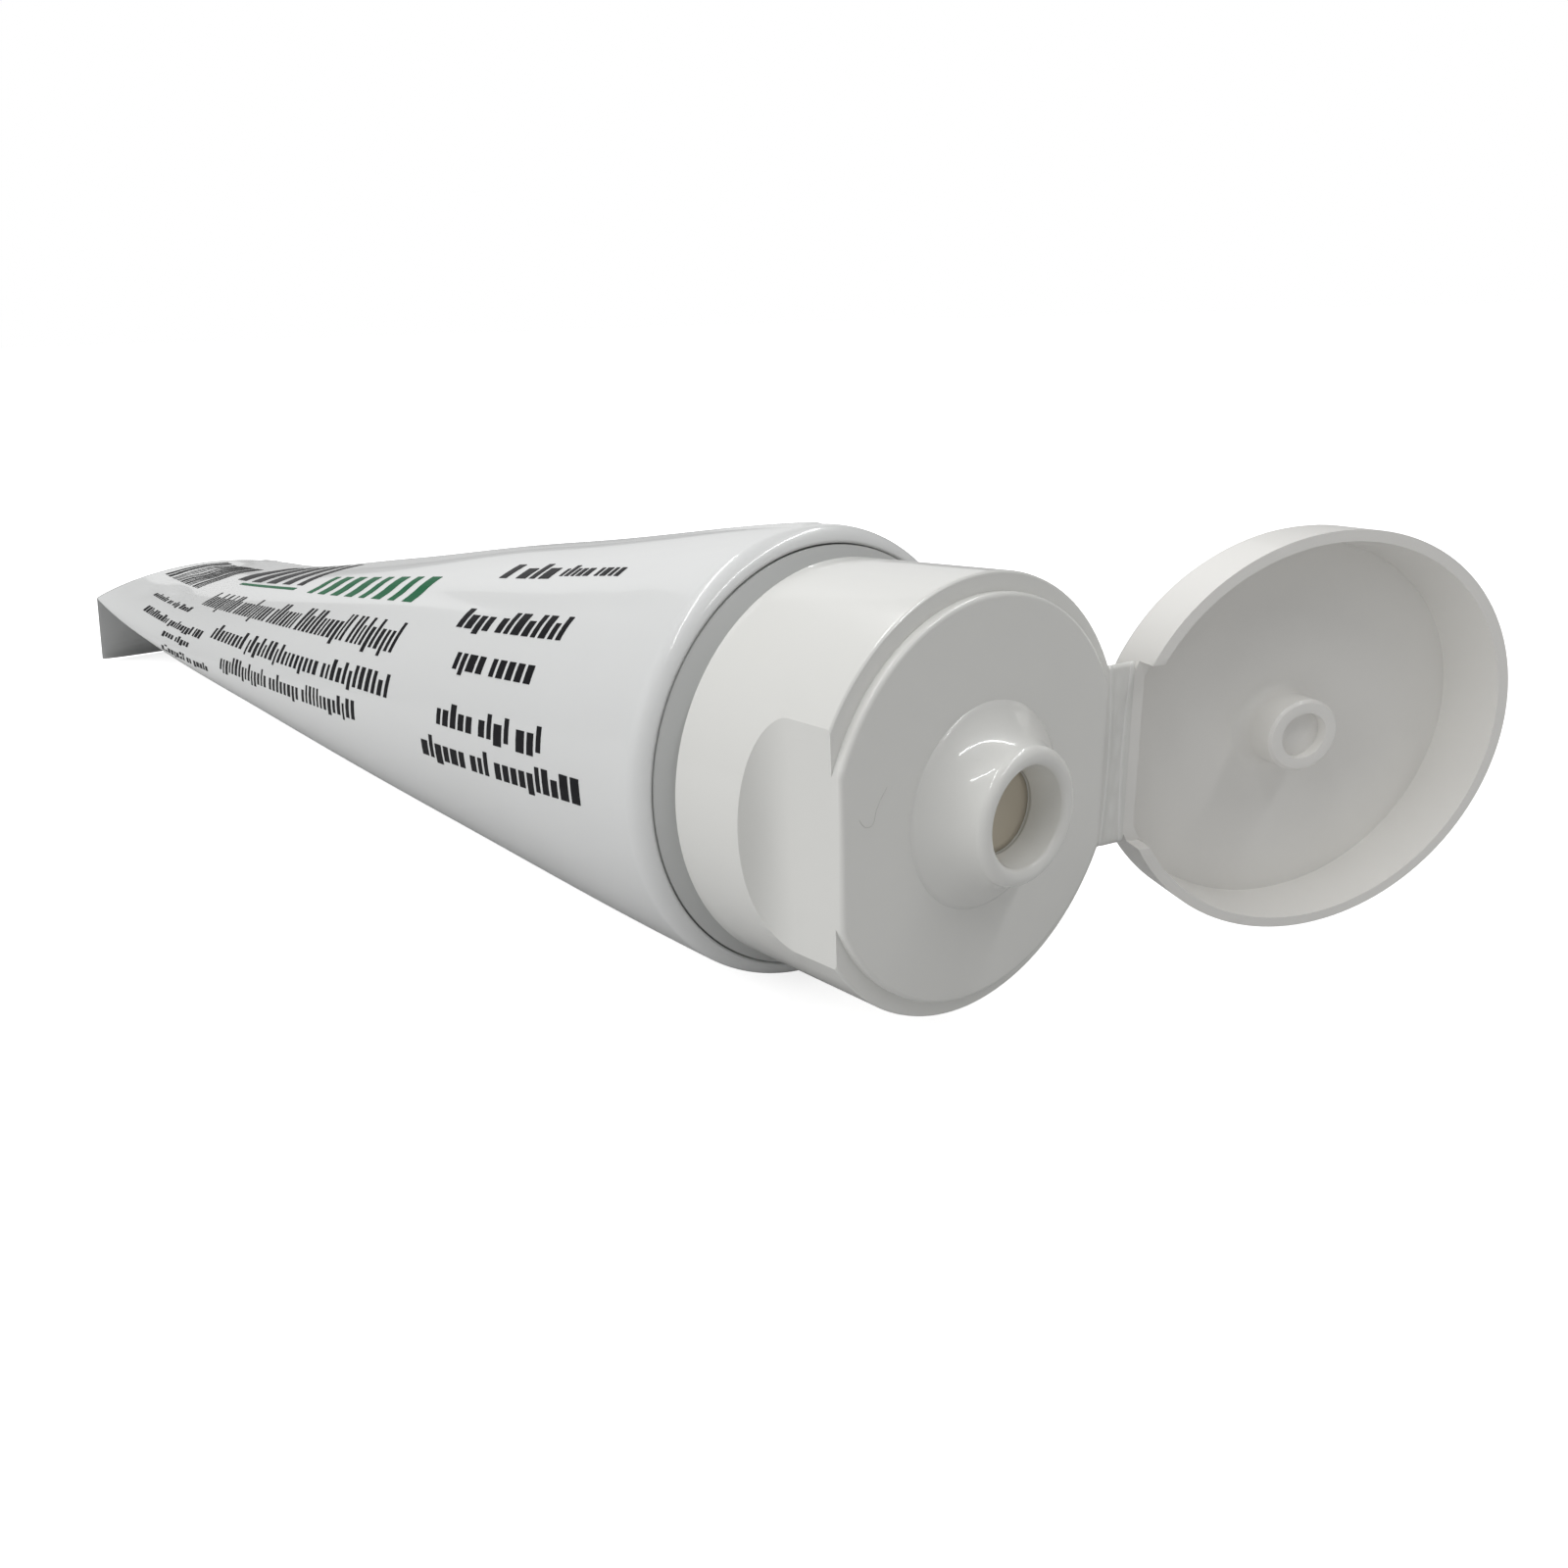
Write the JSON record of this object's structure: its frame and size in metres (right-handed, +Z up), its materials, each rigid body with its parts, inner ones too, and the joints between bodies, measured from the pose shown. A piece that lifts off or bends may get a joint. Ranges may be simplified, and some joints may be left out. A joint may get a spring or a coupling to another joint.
{
  "type": "lubricant tube",
  "caption": "Laminate squeeze tube lying on its side, flattened end bent down, with an open flip-top cap whose lid plugs a short nozzle.",
  "frame": {"origin": "on the bore's axis where the nozzle's mouth starts to flare", "axes": "+X out of the nozzle (raised 4.92 degrees by the rest), +Y towards the hinge, +Z up"},
  "size_m": [0.2084, 0.0792, 0.0409],
  "materials": {
    "sleeve_laminate": "glossy white printed laminate",
    "shoulder_plastic": "satin moulded plastic",
    "gel": "wet translucent gel",
    "cap_plastic": "glossy moulded plastic",
    "strap_plastic": "thin moulded plastic with whitened bends",
    "lid_plastic": "satin moulded plastic inside, glossy outside"
  },
  "bodies": {
    "tube": {"sleeve": "sleeve_laminate", "shoulder": "shoulder_plastic", "gel": "gel", "cap_base": "cap_plastic", "hinge_strap": "strap_plastic"},
    "lid": {"lid": "lid_plastic"}
  },
  "joints": [
    {"name": "lid_hinge", "type": "hinge", "parent": "tube", "child": "lid", "pos_m": [-0.0011, 0.01639, -0.00009], "axis": [-0.0858, 0, 0.9963], "range_deg": [-152, 28], "deforming": ["hinge_strap"]}
  ]
}
